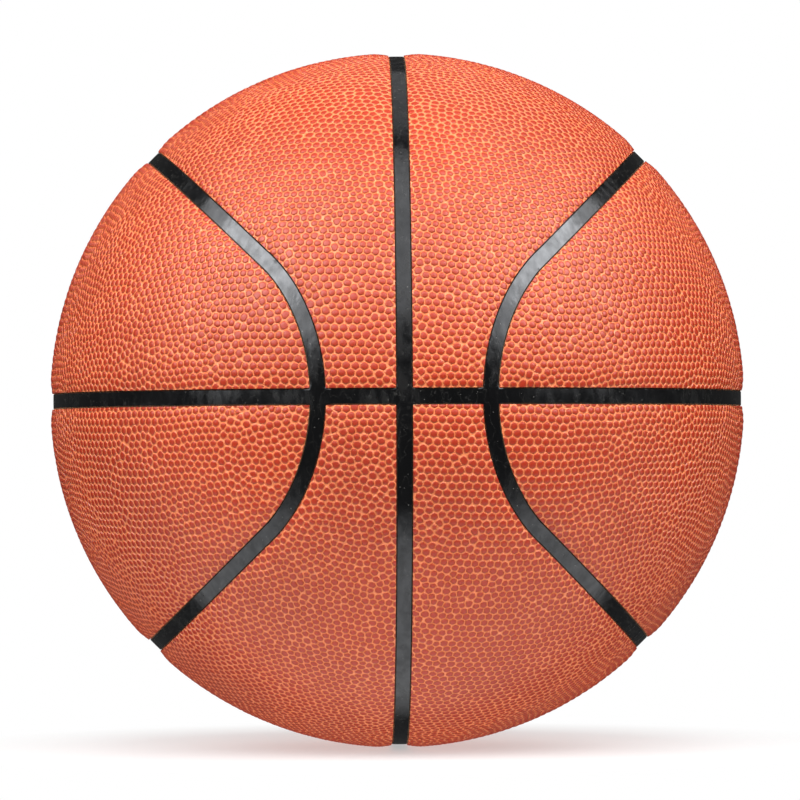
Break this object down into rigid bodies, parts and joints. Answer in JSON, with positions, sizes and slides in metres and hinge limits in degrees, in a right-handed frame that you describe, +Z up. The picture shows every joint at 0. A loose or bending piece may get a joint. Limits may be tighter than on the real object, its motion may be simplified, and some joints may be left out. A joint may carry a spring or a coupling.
{
  "type": "basketball",
  "caption": "Inflated basketball with pebbled composite cover panels, sponge pads, ribbed rubber carcass, thread winding, bladder and inflation valve.",
  "frame": {"origin": "centre of the ball", "axes": "+Z up along the upright channel's plane, +X right, front towards -Y, where the upright and the level channel cross"},
  "size_m": [0.2422, 0.242, 0.2424],
  "materials": {
    "cover": "satin",
    "pad": "matte",
    "carcass": "satin",
    "winding": "matte",
    "bladder": "satin",
    "valve": "matte"
  },
  "bodies": {
    "root": {"bladder": "bladder", "valve_housing": "valve", "valve_plug": "valve", "winding": "winding", "carcass": "carcass", "pad_waist_upper_left": "pad", "pad_waist_upper_right": "pad", "pad_waist_lower_left": "pad", "pad_waist_lower_right": "pad", "pad_side_upper_left": "pad", "pad_side_upper_right": "pad", "pad_side_lower_left": "pad", "pad_side_lower_right": "pad", "cover_waist_upper_left": "cover", "cover_waist_upper_right": "cover", "cover_waist_lower_left": "cover", "cover_waist_lower_right": "cover", "cover_side_upper_left": "cover", "cover_side_upper_right": "cover", "cover_side_lower_left": "cover", "cover_side_lower_right": "cover"}
  },
  "joints": []
}
